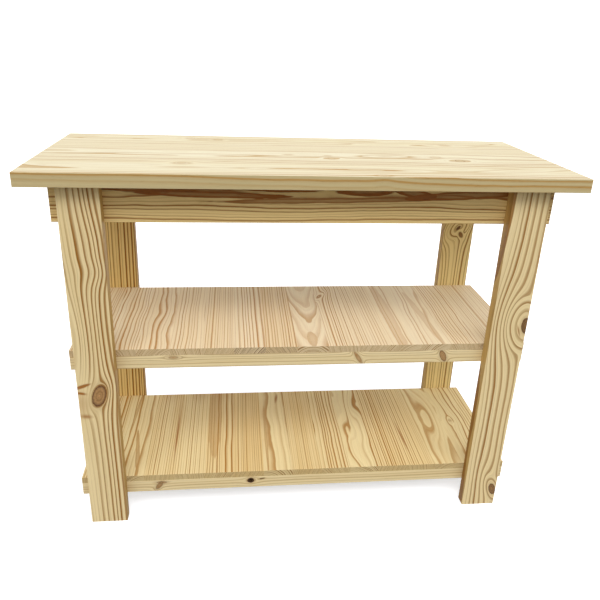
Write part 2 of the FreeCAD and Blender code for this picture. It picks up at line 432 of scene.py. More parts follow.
CUT_NUMBERS = (
    "flow", "lift", "calm", "flame", "stain", "heart", "rim", "halo", "whorl", "seed",
    "pith_across", "pith_behind", "pith_depth", "taper", "spacing", "start", "waver", "wave_rate",
    "late", "hatch", "contrast", "mottle", "tan", "roughness",
)
CUT_COLOURS = (
    "pale_colour", "straw_colour", "late_colour", "stain_colour", "heart_colour", "rim_colour",
    "side_colour", "end_colour", "tint_colour",
)


def object_place(tree):
    coordinates = tree.nodes.new("ShaderNodeTexCoord")
    split = tree.nodes.new("ShaderNodeSeparateXYZ")
    tree.links.new(coordinates.outputs["Object"], split.inputs[0])
    return tuple(Signal(tree, socket) for socket in split.outputs)


def open_group(name, inputs, outputs):
    """A node group with those sockets, its inputs as signals by name, and its output node."""
    tree = bpy.data.node_groups.new(name, "ShaderNodeTree")
    for label, kind in inputs:
        tree.interface.new_socket(label, in_out="INPUT", socket_type=kind)
    for label, kind in outputs:
        tree.interface.new_socket(label, in_out="OUTPUT", socket_type=kind)
    source = tree.nodes.new("NodeGroupInput")
    signals = {label: Signal(tree, source.outputs[label]) for label, _ in inputs}
    return tree, signals, tree.nodes.new("NodeGroupOutput")


# Waves per metre along the grain and across it.
FIBRE_RATES = (26, 1100)
THREAD_RATES = (5, 330)
STREAK_RATES = (0.9, 38)
CLOUD_RATES = (5, 16)
PORE_RATES = (70, 1500)

# How much each trait of the wood adds to its pale or tan tone, brightness, bump and roughness.
TONE_SHARES = {"streak": 0.42, "cloud": 0.2}
BRIGHTNESS_SHARES = {"fibre": 0.035, "thread": 0.055, "pores": -0.2}
BUMP_SHARES = {"late": 0.35, "fibre": 0.22, "thread": 0.2, "pores": -0.5}
ROUGHNESS_SHARES = {"late": -0.09, "fibre": 0.035, "pores": 0.1, "end": 0.2}

PORE_EDGE = (0.62, 0.86)
STAIN_AND_SHADOW_EDGE = (0.2, 0.9)
TONE_RANGE = (-0.3, 0.9)  # from the pale colour to the straw one
RING_TONE = 0.24  # how much darker straw a ring gets before its latewood
FALSE_RINGS = 2.7  # faint false rings in each true one
FALSE_RING_START = 0.35  # share of one at the true ring's start
FALSE_RING_TONE = 0.16
END_RINGS = 3.0  # fine rings in each one, on a sawn end
END_RING_TONE = 0.95
FINE_LATE = 0.5  # share of a false or fine ring that is dark
PORES_BETWEEN = 0.35  # how much the pores show between the dark rings
STAIN_AND_SHADOW_STRAY = 0.08
END_SHARE = 0.42  # of the end colour on a sawn end
SIDE_SHARE = 0.85  # of the side colour, which is painted shade, on a narrow side
GRAIN_BUMP = (0.35, 0.25 * MM)  # strength, and how far it stands out
GLOSS = 0.16  # the specular level


def weighted(traits, shares):
    """Each trait times its share, added up."""
    return total(traits[name] * share for name, share in shares.items())


def ring_traits(tree, place, cut, end):
    """The latewood that shows, the fine rings of a sawn end, and how much of its ring a point has passed."""
    rings = ring_count(tree, place, cut)
    face_late, part = latewood(rings, cut["late"])
    false_late, _ = latewood(rings * FALSE_RINGS + FALSE_RING_START, FINE_LATE)
    end_late, _ = latewood(rings * END_RINGS, FINE_LATE)
    face_late = (face_late + false_late * FALSE_RING_TONE) * cut["contrast"] * cut["calm"]
    face_late = face_late.math("MAXIMUM", cut["flame"])
    late = face_late * (1 - end) + end_late * end * END_RING_TONE
    return {"late": late, "end_late": end_late, "part": part}


def wood_traits(tree, cut):
    """How strongly each trait of the wood shows at a point."""
    place = object_place(tree)
    along, _, depth = place
    with_flow = (along, cut["flow"], depth)
    seed = cut["seed"]
    end = face_share(tree, END_ATTRIBUTE)
    traits = ring_traits(tree, place, cut, end)
    pores = grain_noise(tree, with_flow, *PORE_RATES, seed, 0.0).ramp(*PORE_EDGE)
    traits.update(
        end=end,
        side=face_share(tree, SIDE_ATTRIBUTE),
        fibre=grain_noise(tree, with_flow, *FIBRE_RATES, seed),
        thread=grain_noise(tree, with_flow, *THREAD_RATES, seed * -1),
        streak=grain_noise(tree, with_flow, *STREAK_RATES, seed * 2),
        cloud=grain_noise(tree, place, *CLOUD_RATES, seed * 3),
        pores=pores * (PORES_BETWEEN + traits["late"]),
    )
    return traits


def wood_colour(tree, cut, traits):
    """The wood's colour, laid on in coats: each covers the ones below by its share."""
    tone = weighted(traits, TONE_SHARES) * cut["mottle"] + traits["part"] * RING_TONE + cut["tan"]
    colour = mix(tree, tone.ramp(*TONE_RANGE), cut["pale_colour"], cut["straw_colour"])
    coats = (
        # narrow sides get painted shade: the darker, warmer side colour
        (traits["side"] * SIDE_SHARE, cut["side_colour"]),
        (traits["late"].math("MINIMUM", 1.0), cut["late_colour"]),
        # resin streaks, and painted shadow where the bottom shelf lies under the mid shelf
        ((cut["stain"] + traits["thread"] * STAIN_AND_SHADOW_STRAY).ramp(*STAIN_AND_SHADOW_EDGE), cut["stain_colour"]),
        (cut["halo"], cut["late_colour"]),
        (cut["heart"], scaled(tree, cut["heart_colour"], 1 - cut["whorl"])),
        (cut["rim"], cut["rim_colour"]),
        (traits["end"] * END_SHARE, cut["end_colour"]),
        (traits["end"] * traits["end_late"] * cut["hatch"], cut["rim_colour"]),
    )
    for share, coat in coats:
        colour = mix(tree, share, colour, coat)
    # the tint multiplies in painted warm bounce light, on boards that stand in shade
    colour = multiply(tree, colour, cut["tint_colour"])
    return scaled(tree, colour, 1 + weighted(traits, BRIGHTNESS_SHARES))


def bump_from(tree, height, strength, distance):
    """The output of a bump node that stands height out of the surface."""
    bump = tree.nodes.new("ShaderNodeBump")
    bump.inputs["Strength"].default_value = strength
    bump.inputs["Distance"].default_value = distance
    feed(tree, bump.inputs["Height"], height)
    return Signal(tree, bump.outputs["Normal"])


def pine_group():
    """Bare planed pine: growth rings, fibres, streaks, resin pores, knots and end grain."""
    inputs = [(name, "NodeSocketFloat") for name in CUT_NUMBERS]
    inputs += [(name, "NodeSocketColor") for name in CUT_COLOURS]
    outputs = [("colour", "NodeSocketColor"), ("roughness", "NodeSocketFloat")]
    outputs += [("normal", "NodeSocketVector")]
    tree, cut, result = open_group("sawn_pine", inputs, outputs)
    traits = wood_traits(tree, cut)
    height = weighted(traits, BUMP_SHARES)
    feed(tree, result.inputs["colour"], wood_colour(tree, cut, traits))
    feed(tree, result.inputs["roughness"], cut["roughness"] + weighted(traits, ROUGHNESS_SHARES))
    feed(tree, result.inputs["normal"], bump_from(tree, height, *GRAIN_BUMP))
    return tree


FLAME_RATES = (14, 75)  # of its ragged outline: waves per metre along and across the grain
FLAME_EDGE = (0.4, 0.5)
FLAME_HEART = (0.55, 1.0)
FLAME_HEART_PALER = 0.3
FLAME_STRAY = 0.16


def flame_mask(tree, place, flames, seed):
    """Islands of latewood with a sharp ragged outline and a paler heart. On the apron they also paint the
    shade under the worktop's overhang.
    """
    ragged = grain_noise(tree, place, *FLAME_RATES, seed, 2.5)
    masks = []
    for flame in flames:
        height = bell_at(place, flame) + ragged * FLAME_STRAY
        paler = height.ramp(*FLAME_HEART) * FLAME_HEART_PALER
        masks.append(height.ramp(*FLAME_EDGE) * (1 - paler) * flame.strength)
    return total(masks)


def board_masks(tree, place, grain, seed, seen_face):
    """What is particular to one board: where its grain bends, bulges, fades, holds a knot, or is stained or
    painted with shadow.
    """
    along, across, _ = place
    flow = across + along * grain.lean
    for bend in grain.bends:
        flow = flow - bell_at(place, bend) * bend.strength
    for knot in grain.knots:
        flow = part_round(place, flow, knot)
    calm = 1.0
    for spot in grain.calms:
        calm = (1 - bell_at(place, spot) * spot.strength) * calm
    masks = {
        "flow": flow,
        "lift": total(bell_at(place, bulge) * bulge.strength for bulge in grain.bulges),
        # resin streaks, and broad spots of painted shadow
        "stain": total(bell_at(place, stain) * stain.strength for stain in grain.stains),
        "flame": flame_mask(tree, place, grain.flames, seed) if grain.flames else 0.0,
        "calm": calm,
    }
    if grain.knots:
        masks.update(knot_tones(tree, place, grain.knots, seed, seen_face))
    return masks


def pine_material(name, wood, grain, seen_face, shown):
    """The shared pine, cut as this board's grain says. The seen face is given by its place in z."""
    material = bpy.data.materials.new(name)
    material.use_nodes = True
    tree = material.node_tree
    seed = random.Random(name).uniform(3, 90)
    pine = tree.nodes.new("ShaderNodeGroup")
    pine.node_tree = SAWN_PINE
    settings = {key: getattr(grain, key) for key in vars(grain) if key in CUT_NUMBERS}
    settings.update(heart=0.0, rim=0.0, halo=0.0, whorl=0.0, seed=seed, roughness=wood.roughness)
    settings["pith_depth"] = seen_face - shown * grain.pith_behind
    settings.update(board_masks(tree, object_place(tree), grain, seed, seen_face))
    colours = {**vars(wood), "tint": grain.tint}
    settings.update({key: hex_colour(colours[key.removesuffix("_colour")]) for key in CUT_COLOURS})
    for key, value in settings.items():
        feed(tree, pine.inputs[key], value)
    surface = tree.nodes["Principled BSDF"]
    surface.inputs["Specular IOR Level"].default_value = GLOSS
    for label, socket in (("colour", "Base Color"), ("roughness", "Roughness"), ("normal", "Normal")):
        tree.links.new(pine.outputs[label], surface.inputs[socket])
    return material


STEEL_BRIGHT = "CFC6A6"
STEEL_WORN = "8E8878"
STEEL_ROUGHNESS = 0.34
PATCH_RATE = 420.0  # per metre
PATCH_RANGE = (-0.5, 0.8)
PATCH_DULLNESS = 0.08
SCRATCH_RATE = 2600.0
SCRATCH_DULLNESS = 0.05
SCRATCH_BUMP = (0.3, 0.05 * MM)


def steel_material():
    """Zinc plated screw steel: a faint yellow cast, with small worn patches and fine scratches."""
    material = bpy.data.materials.new("screw_steel_plated")
    material.use_nodes = True
    tree = material.node_tree
    place = Signal(tree, tree.nodes.new("ShaderNodeTexCoord").outputs["Object"])
    patches = noise(tree, scaled(tree, place, PATCH_RATE), 3.0)
    scratches = noise(tree, scaled(tree, place, SCRATCH_RATE), 2.0)
    colour = mix(tree, patches.ramp(*PATCH_RANGE), hex_colour(STEEL_BRIGHT), hex_colour(STEEL_WORN))
    surface = tree.nodes["Principled BSDF"]
    surface.inputs["Metallic"].default_value = 1.0
    feed(tree, surface.inputs["Base Color"], colour)
    feed(tree, surface.inputs["Roughness"],
         STEEL_ROUGHNESS + patches * PATCH_DULLNESS + scratches * SCRATCH_DULLNESS)
    feed(tree, surface.inputs["Normal"], bump_from(tree, scratches, *SCRATCH_BUMP))
    return material


# ---------------- the shape of a board

@dataclass
class Family:
    """Which way a kind of board lies: the world directions of its length, width and thickness."""
    slot: str
    length: Vector
    width: Vector
    thickness: Vector
    shown: int                       # the side of the thickness that is seen first
    glued: bool = False


FAMILIES = {
    "leg": Family("leg_pine", Z, X, Y, -1),
    "apron": Family("frame_pine", X, Z, -Y, 1),
    "stretcher": Family("frame_pine", Y, Z, X, 1),
    "mid_rail": Family("frame_pine", X, Z, -Y, 1),
    "bottom_rail": Family("frame_pine", X, Z, -Y, 1),
    "mid_cross": Family("frame_pine", Y, Z, X, 1),
    "bottom_cross": Family("frame_pine", Y, Z, X, 1),
    "top_board": Family("worktop_pine", X, Y, Z, 1, glued=True),
    "mid_stave": Family("mid_shelf_pine", Y, X, -Z, -1, glued=True),
    "bottom_stave": Family("bottom_shelf_pine", Y, X, -Z, -1, glued=True),
}


def section(half_width, half_thick, radii):
    """A board's outline across the grain, with each corner rounded by its own radius."""
    corners = ((1, 1), (-1, 1), (-1, -1), (1, -1))
    points = []
    for quarter, ((side, face), radius) in enumerate(zip(corners, radii)):
        middle_y = side * (half_width - radius)
        middle_z = face * (half_thick - radius)
        for step in range(ARC_STEPS + 1):
            angle = math.pi / 2 * (quarter + step / ARC_STEPS)
            points.append((middle_y + radius * math.cos(angle), middle_z + radius * math.sin(angle)))
    return points


def board_mesh(name, size, low_glued, high_glued, end_ease):
    """A planed board with eased edges; a glued side keeps its corners sharp, but for the glue line."""
    half_long, half_wide, half_thick = (s / 2 for s in size)
    low = GLUE_LINE if low_glued else EDGE_EASE
    high = GLUE_LINE if high_glued else EDGE_EASE
    radii = (high, low, low, high)
    stations = []
    for step in range(ARC_STEPS + 1):
        angle = math.pi / 2 * step / ARC_STEPS
        stations.append((half_long - end_ease * (1 - math.sin(angle)), end_ease * (1 - math.cos(angle))))
    stations = [(-place, inset) for place, inset in reversed(stations)] + stations
    mesh = bmesh.new()
    loops = []
    for place, inset in stations:
        shrunk = [max(radius - inset, SHARPEST_EDGE) for radius in radii]
        outline = section(half_wide - inset, half_thick - inset, shrunk)
        loops.append([mesh.verts.new((place, y, z)) for y, z in outline])
    for near, far in zip(loops, loops[1:]):
        for i, vertex in enumerate(near):
            following = (i + 1) % len(near)
            mesh.faces.new((vertex, near[following], far[following], far[i]))
    mesh.faces.new(list(reversed(loops[0])))
    mesh.faces.new(loops[-1])
    bmesh.ops.recalc_face_normals(mesh, faces=mesh.faces)
    data = bpy.data.meshes.new(name)
    mesh.to_mesh(data)
    mesh.free()
    mark_faces(data)
    return data


END_FACING = 0.9  # how squarely a face looks along the board, to count as an end
SIDE_FACING = 0.6


def mark_faces(data):
    """Tells the material which faces are sawn across the grain, and which are a board's narrow sides."""
    data.attributes.new(END_ATTRIBUTE, "FLOAT", "FACE")
    data.attributes.new(SIDE_ATTRIBUTE, "FLOAT", "FACE")
    ends = data.attributes[END_ATTRIBUTE].data
    sides = data.attributes[SIDE_ATTRIBUTE].data
    for face in data.polygons:
        ends[face.index].value = float(abs(face.normal.x) > END_FACING)
        sides[face.index].value = float(abs(face.normal.y) > SIDE_FACING)


def kind_of(node):
    return next(kind for kind in FAMILIES if node.startswith(kind))


def glued_sides(node, kind):
    """Whether a board's low side and its high side are glued to a neighbour."""
    if not FAMILIES[kind].glued:
        return False, False
    siblings = sorted(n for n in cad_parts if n.startswith(kind))
    return node != siblings[0], node != siblings[-1]


PLUG_SIDES = 8
PLUG_REACH = (0.72, 1.25)  # of its corners, as a share of the spot's size
PLUG_MIDDLE = 0.86  # its width halfway down, as a share of its mouth's
PLUG_TIP = 0.5  # and at its tip
PLUG_STANDS_OUT = 1.0 * MM


def ragged_plug(spot, near, far, seed):
    """A rough tapered plug, with its mouth at the depth near and its tip at the depth far."""
    chance = random.Random(seed)
    mesh = bmesh.new()
    reach = [chance.uniform(*PLUG_REACH) for _ in range(PLUG_SIDES)]
    rims = []
    for depth, share in ((near, 1.0), ((near + far) / 2, PLUG_MIDDLE), (far, PLUG_TIP)):
        rim = []
        for side in range(PLUG_SIDES):
            angle = 2 * math.pi * side / PLUG_SIDES
            lengthways = math.cos(angle) * spot.half_long * reach[side] * share
            sideways = math.sin(angle) * spot.half_wide * reach[side] * share
            along = spot.along + lengthways * math.cos(spot.tilt) - sideways * math.sin(spot.tilt)
            across = spot.across + lengthways * math.sin(spot.tilt) + sideways * math.cos(spot.tilt)
            rim.append(mesh.verts.new((along, across, depth)))
        rims.append(rim)
    for low, high in zip(rims, rims[1:]):
        for side in range(PLUG_SIDES):
            after = (side + 1) % PLUG_SIDES
            mesh.faces.new((low[side], low[after], high[after], high[side]))
    mesh.faces.new(rims[0])
    mesh.faces.new(rims[-1])
    bmesh.ops.recalc_face_normals(mesh, faces=mesh.faces)
    data = bpy.data.meshes.new("plug")
    mesh.to_mesh(data)
    mesh.free()
    return data


def hollow_out(piece, plug):
    """Takes a plug's room out of a board."""
    cutter = bpy.data.objects.new("plug", plug)
    cutter.matrix_world = piece.matrix_world
    bpy.context.scene.collection.objects.link(cutter)
    bite = piece.modifiers.new("bite", "BOOLEAN")
    bite.operation = "DIFFERENCE"
    bite.solver = "EXACT"
    bite.object = cutter
    bpy.context.view_layer.update()
    solid = piece.data
    seen = piece.evaluated_get(bpy.context.evaluated_depsgraph_get())
    piece.data = bpy.data.meshes.new_from_object(seen)
    piece.data.name = solid.name + "_hollow"
    piece.modifiers.remove(bite)
    bpy.data.objects.remove(cutter)
    bpy.data.meshes.remove(plug)
    bpy.data.meshes.remove(solid)


# Places where a knot has fallen out or torn, by node: the spot, and how deep it goes.
HOLLOWS = {
    "bottom_rail_front": (
        (Spot(-130, 5, 6.5, 6), 18 * MM),
        (Spot(-104, 8, 7, 1.3, tilt=0.2), 3 * MM),
    ),
    "leg_back_right": (
        (Spot(226, -2, 5, 2.4, tilt=0.7), 3 * MM),
        (Spot(206, 8, 4, 2.6, tilt=-0.5), 3 * MM),
    ),
}


def build_board(node):
    """Makes the piece that stands for one board of the frame."""
    kind = kind_of(node)
    family = FAMILIES[kind]
    low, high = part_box(node)
    extent = high - low
    size = [abs(extent.dot(axis)) for axis in (family.length, family.width, family.thickness)]
    low_glued, high_glued = glued_sides(node, kind)
    end_ease = GLUED_END_EASE if family.glued else EDGE_EASE
    data = board_mesh(node + "_mesh", size, low_glued, high_glued, end_ease)
    piece = bpy.data.objects.new(node + "_wood", data)
    bpy.context.scene.collection.objects.link(piece)
    turn = Matrix((family.length, family.width, family.thickness)).transposed().to_4x4()
    piece.matrix_world = Matrix.Translation((low + high) / 2) @ turn
    grain = grain_of(node, kind)
    seen_face = family.shown * size[2] / 2
    pine = pine_material(node + "_pine", WOODS[family.slot], grain, seen_face, family.shown)
    data.materials.append(pine)
    for order, (spot, deep) in enumerate(HOLLOWS.get(node, ())):
        mouth = seen_face + family.shown * PLUG_STANDS_OUT
        tip = seen_face - family.shown * deep
        hollow_out(piece, ragged_plug(spot, mouth, tip, node + str(order)))
    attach(piece, "root")
    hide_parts(node)
    return piece


# ---------------- how each board was sawn

def usual_grain(node, kind):
    """A board sawn at random: a seeded choice, so that it comes out the same every time."""
    chance = random.Random("pine " + node)
    side = chance.choice((-1, 1))
    return Grain(
        spacing=chance.uniform(6.0, 9.5) * MM,
        pith_across=side * chance.uniform(50, 130) * MM,
        pith_behind=chance.uniform(25, 80) * MM,
        taper=chance.uniform(-0.006, 0.006),
        lean=chance.uniform(-0.01, 0.01),
        start=chance.random(),
        waver=chance.uniform(0.15, 0.4),
        late=chance.uniform(0.26, 0.4),
        contrast=chance.uniform(0.6, 0.85),
        mottle=chance.uniform(0.3, 0.7),
        wave_rate=STAVE_WAVES if kind.endswith("stave") else BOARD_WAVES,
        tan=chance.uniform(-0.12, 0.14),
    )


LEG_GRAINS = {
    "leg_front_left": dict(
        spacing=9.8 * MM, pith_across=0.13, pith_behind=0.05, start=0.1, waver=0.16, late=0.42,
        contrast=1.1, mottle=0.35,
        bends=(
            Spot(300, 22, 84, 40, strength=13 * MM),
            Spot(246, 20, 30, 40, strength=8 * MM),
            Spot(70, -34, 140, 32, strength=21 * MM),
        ),
        calms=(
            Spot(-280, -46, 260, 34),
            Spot(-60, -34, 80, 24),
            Spot(130, -48, 150, 20, strength=0.9),
            Spot(420, -46, 110, 22, strength=0.9),
        ),
        knots=(
            Knot(-64, 4, 28, 14.5, tilt=0.28, strength=0.95, dark=0.95, shade=0.12,
                 swirl_long=35, swirl_wide=18),
        ),
        stains=(
            Spot(-37, -31, 3.5, 19, tilt=-0.35, strength=1.2),
            Spot(-56, -37, 3, 11, tilt=0.2, strength=0.7),
            Spot(-84, -36, 62, 24, strength=0.5),
            Spot(-121, -28, 6, 18, tilt=0.1, strength=0.4),
        ),
    ),
    "leg_front_right": dict(
        spacing=13 * MM, pith_across=-0.12, pith_behind=0.04, start=0.2, waver=0.3, late=0.4,
        contrast=0.85, mottle=0.3,
        knots=(
            Knot(104, 41, 20, 10, tilt=-0.1, dark=1.0, shade=0.55, swirl_long=78, swirl_wide=46),
            Knot(-392, 34, 18, 8.5, tilt=-0.3, dark=1.0, shade=0.4, swirl_long=46, swirl_wide=18),
        ),
        stains=(
            Spot(90, 26, 22, 3, tilt=-0.35, strength=0.7),
            Spot(278, 41, 40, 2.5, strength=0.6),
        ),
    ),
    "leg_back_left": dict(
        spacing=8.2 * MM, pith_across=0.2, pith_behind=0.05, start=0.3, waver=0.1, late=0.46,
        # its tint is painted warm bounce light, as this leg stands in shade
        contrast=1.35, lean=-0.02, tint="FFF6D8",
    ),
    "leg_back_right": dict(
        spacing=9 * MM, pith_across=-0.16, pith_behind=0.05, start=0.3, waver=0.25, late=0.4,
        # its tint is painted warm bounce light, as this leg stands in shade
        contrast=0.85, tan=-0.35, tint="FFFCE4",
        knots=(
            Knot(226, -2, 8, 4, tilt=0.7, dark=1.0, shade=0.5, swirl_long=40, swirl_wide=24),
            Knot(205, 8, 8, 5, tilt=-0.5, dark=1.0, shade=0.2, swirl_long=15, swirl_wide=9),
        ),
    ),
}

FRAME_GRAINS = {
    "apron_front": dict(
        spacing=5.6 * MM, pith_across=30 * MM, pith_behind=0.045, start=0.55, waver=1.0,
        # its tint is painted warm bounce light for the shade under the worktop
        wave_rate=1.9, late=0.38, contrast=1.0, mottle=0.4, tan=-0.2, tint="FFF2D2",
        calms=(Spot(0, -32, 900, 30, strength=0.35),),
        # grain flames in the upper half, widened at the upper left into painted shade under the worktop's
        # overhang
        flames=(
            Spot(-330, 36, 190, 12, tilt=0.01),
            Spot(-215, 19, 210, 8, tilt=-0.02, strength=1.1),
            Spot(-60, 37, 130, 13, strength=1.1),
            Spot(118, 33, 80, 17, strength=1.1),
            Spot(225, 28, 62, 13, tilt=-0.22, strength=1.1),
            Spot(350, 22, 150, 11, tilt=0.06),
            Spot(40, 8, 300, 7, tilt=0.02, strength=0.9),
        ),
    ),
    "mid_rail_front": dict(
        spacing=6 * MM, pith_across=90 * MM, pith_behind=0.05, start=0.3, waver=0.25,
        contrast=0.5, tan=0.0,
        knots=(
            Knot(-316, 11, 11, 4, strength=0.55, dark=0.3, swirl_long=22, swirl_wide=6),
            Knot(132, 0, 20, 4.5, tilt=-1.0, strength=0.6, dark=0.25, swirl_long=21, swirl_wide=8),
            Knot(347, 1, 16, 7, tilt=-1.15, strength=0.85, dark=0.8, shade=0.1,
                 swirl_long=18, swirl_wide=10),
        ),
        stains=(Spot(126, 8, 4, 14, tilt=0.6, strength=0.6),),
    ),
    "bottom_rail_front": dict(
        spacing=7.5 * MM, pith_across=90 * MM, pith_behind=0.06, start=0.3, waver=0.25,
        contrast=0.35,
        knots=(
            Knot(-366, 1, 14, 6, tilt=0.95, strength=0.85, dark=0.5, shade=0.25,
                 swirl_long=18, swirl_wide=9),
            Knot(-360, 10, 13, 4, strength=0.75, dark=0.3, shade=0.2, swirl_long=16, swirl_wide=5),
            Knot(-130, 5, 8.5, 7.5, dark=1.0, shade=0.92, swirl_long=16, swirl_wide=9),
            Knot(-101, 9, 7, 1.8, tilt=0.2, strength=0.9, dark=1.0, shade=0.6,
                 swirl_long=8, swirl_wide=2.5),
        ),
    ),
}

TOP_GRAINS = {
    "top_board_1": dict(
        spacing=9 * MM, pith_across=2 * MM, pith_behind=0.075, start=0.62, waver=0.4, late=0.4,
        contrast=0.85, mottle=0.3,
        bulges=(
            Spot(-495, 4, 110, 17, tilt=-0.07, strength=1.5),
            Spot(-285, 1, 100, 16, strength=1.6),
            Spot(-90, 0, 95, 15, strength=1.5),
            Spot(112, -1, 170, 19, tilt=-0.03, strength=2.3),
            Spot(470, 6, 120, 18, tilt=0.12, strength=1.5),
        ),
        knots=(
            Knot(-285, 46, 9, 8, strength=0.3, dark=0.3, swirl_long=30, swirl_wide=18),
            Knot(145, -57, 6, 4, strength=0.25, dark=0.2, swirl_long=18, swirl_wide=7),
        ),
    ),
    "top_board_2": dict(
        spacing=10 * MM, pith_across=24 * MM, pith_behind=0.07, start=0.3, waver=0.45, late=0.36,
        contrast=0.8, mottle=0.35,
        knots=(
            Knot(-40, 24, 9, 6, strength=0.2, dark=0.2, swirl_long=24, swirl_wide=11),
            Knot(55, 18, 8, 6, strength=0.3, dark=0.3, swirl_long=20, swirl_wide=10),
            Knot(60, -13, 9, 8, strength=0.5, dark=0.5, shade=0.1, swirl_long=26, swirl_wide=14),
            Knot(325, 20, 13, 8, strength=0.25, dark=0.4, swirl_long=36, swirl_wide=15),
            Knot(374, -20, 12, 10, strength=0.6, dark=0.8, shade=0.15, swirl_long=48, swirl_wide=25),
        ),
        bulges=(
            Spot(196, 22, 60, 13, strength=1.4),
            Spot(-290, 10, 280, 12, strength=0.9),
        ),
    ),
    "top_board_3": dict(
        spacing=8 * MM, pith_across=0.14, pith_behind=0.05, waver=0.2, contrast=0.65, mottle=0.3,
    ),
    "top_board_4": dict(
        spacing=10 * MM, pith_across=12 * MM, pith_behind=0.07, start=0.2, waver=0.6, late=0.36,
        contrast=0.8, mottle=0.5, wave_rate=3.0,
        knots=(
            Knot(-285, 22, 11, 8, strength=0.2, dark=0.3, swirl_long=30, swirl_wide=14),
            Knot(-212, 4, 11, 9, strength=0.45, dark=0.5, swirl_long=34, swirl_wide=17),
            Knot(405, -18, 12, 9, strength=0.2, dark=0.1, swirl_long=58, swirl_wide=28),
        ),
        bulges=(
            Spot(-500, 2, 160, 14, strength=1.4),
            Spot(250, -8, 110, 13, tilt=0.08, strength=1.4),
            Spot(500, 8, 90, 14, tilt=0.1, strength=1.3),
        ),
    ),
}

MID_STAVE_GRAINS = {
    "mid_stave_01": dict(spacing=6 * MM, pith_across=0.12, waver=0.4, contrast=0.9, tan=0.1),
    "mid_stave_02": dict(spacing=7.5 * MM, pith_across=-0.08, pith_behind=0.05, waver=0.8,
                         taper=0.01, contrast=1.0, late=0.36),
    "mid_stave_03": dict(
        spacing=9 * MM, pith_across=0.06, pith_behind=0.06, waver=0.6, taper=-0.012, contrast=0.95,
        bulges=(Spot(30, 8, 60, 18, strength=0.7),),
    ),
    "mid_stave_04": dict(spacing=8 * MM, pith_across=-0.1, waver=0.4, contrast=0.9, late=0.3),
    "mid_stave_05": dict(spacing=5.4 * MM, pith_across=0.12, waver=0.12, contrast=0.8, tan=0.1),
    "mid_stave_06": dict(spacing=7.4 * MM, pith_across=0.13, pith_behind=0.1, waver=0.1, contrast=1.1,
                         late=0.36, tan=-0.1, hatch=1.0),
    "mid_stave_07": dict(spacing=5.6 * MM, pith_across=-0.13, pith_behind=0.1, waver=0.12, contrast=0.9,
                         tan=0.2, late=0.46, hatch=0.8),
    "mid_stave_08": dict(
        spacing=12 * MM, pith_across=2 * MM, pith_behind=0.05, taper=-0.09, start=0.3, waver=0.5,
        contrast=0.75, late=0.55, mottle=0.3, tan=-0.15,
        flames=(Spot(-150, 2, 46, 15, strength=0.55),),
    ),
    "mid_stave_09": dict(
        spacing=7 * MM, pith_across=-0.15, waver=0.15, contrast=1.0, late=0.42,
        knots=(Knot(110, -24, 7, 4, tilt=0.5, strength=0.4, dark=0.35, swirl_long=26, swirl_wide=9),),
    ),
    "mid_stave_10": dict(spacing=5.8 * MM, pith_across=0.12, waver=0.2, contrast=0.75, tan=-0.05),
    "mid_stave_11": dict(
        spacing=8 * MM, pith_across=0.05, pith_behind=0.07, waver=0.35, contrast=0.7, mottle=0.4,
        flames=(Spot(-30, -6, 260, 17, strength=0.42),),
    ),
    "mid_stave_12": dict(
        spacing=10 * MM, pith_across=0.05, pith_behind=0.06, waver=0.5, taper=0.03, contrast=0.6,
        start=0.4, mottle=0.4, tan=-0.25,
        flames=(Spot(-40, 12, 190, 10, tilt=-0.06, strength=0.4),),
    ),
    "mid_stave_13": dict(spacing=6.5 * MM, pith_across=-0.1, waver=0.6, contrast=0.95),
    "mid_stave_14": dict(spacing=5.4 * MM, pith_across=0.1, pith_behind=0.1, waver=0.2, contrast=0.6,
                         tan=-0.15, hatch=1.0),
    "mid_stave_15": dict(spacing=6 * MM, pith_across=0.1, waver=0.3, contrast=0.65, hatch=0.9),
}

